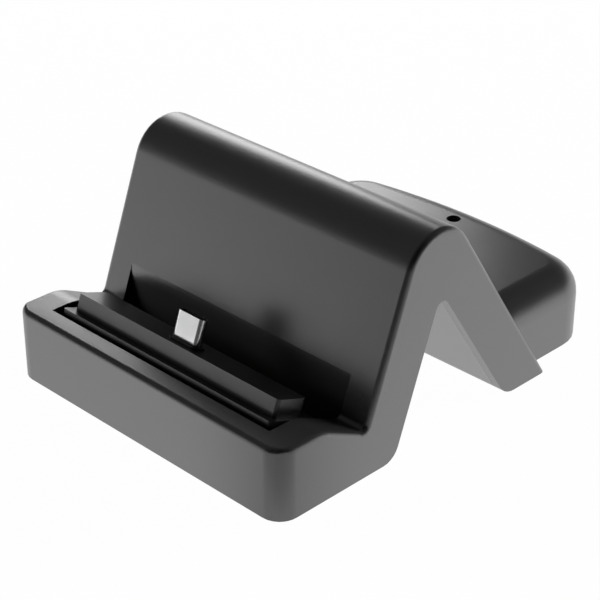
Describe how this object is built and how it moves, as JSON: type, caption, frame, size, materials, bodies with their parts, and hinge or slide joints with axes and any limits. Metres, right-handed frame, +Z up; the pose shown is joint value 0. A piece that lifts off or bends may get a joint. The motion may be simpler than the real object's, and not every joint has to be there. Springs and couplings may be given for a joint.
{
  "type": "charging stand",
  "caption": "Folded charging stand for a handheld game console: a rocking plug in its tray, a leaning backrest, a rear leg and a low electronics box behind.",
  "frame": {"origin": "middle of the stand's bounding box, on the surface that the feet stand on", "axes": "+X to the right seen from the front, +Y to the back, +Z up"},
  "size_m": [0.086, 0.112, 0.0511],
  "materials": {
    "shell_plastic": "fine-textured satin moulding",
    "cover_plastic": "satin moulding",
    "carrier_plastic": "satin moulding",
    "plug_steel": "bright drawn steel",
    "insulator": "plain",
    "contact_plate": "gold plated",
    "board_laminate": "solder mask",
    "pin_steel": "ground",
    "spring_steel": "drawn wire",
    "socket_steel": "plated",
    "chip_plastic": "moulded package",
    "part_ceramic": "small board parts",
    "connector_plastic": "plain",
    "lead_film": "flat film lead",
    "led_plastic": "clear package",
    "guide_plastic": "smoked, looks black when unlit",
    "screw_steel": "plated",
    "foot_rubber": "plain"
  },
  "bodies": {
    "stand": {"upper_shell": "shell_plastic", "base_cover": "cover_plastic", "return_spring_left": "spring_steel", "return_spring_right": "spring_steel", "main_board": "board_laminate", "inlet_socket": "socket_steel", "inlet_tongue": "insulator", "charge_controller": "chip_plastic", "board_parts": "part_ceramic", "flex_connector": "connector_plastic", "flex_lead": "lead_film", "indicator_led": "led_plastic", "light_guide": "guide_plastic", "board_screws": "screw_steel", "cover_screws": "screw_steel", "foot_front_left": "foot_rubber", "foot_front_right": "foot_rubber", "foot_rear_left": "foot_rubber", "foot_rear_right": "foot_rubber"},
    "carrier": {"connector_carrier": "carrier_plastic", "carrier_cap": "carrier_plastic", "plug_shell": "plug_steel", "plug_core": "insulator", "plug_contacts": "contact_plate", "plug_board": "board_laminate", "pivot_pin_left": "pin_steel", "pivot_pin_right": "pin_steel"}
  },
  "joints": [
    {"name": "connector_tilt", "type": "hinge", "parent": "stand", "child": "carrier", "pos_m": [0, -0.04424, 0.01235], "axis": [-1, 0, 0], "range_deg": [-16, 8], "stiffness_Nm_per_rad": 0.08}
  ]
}
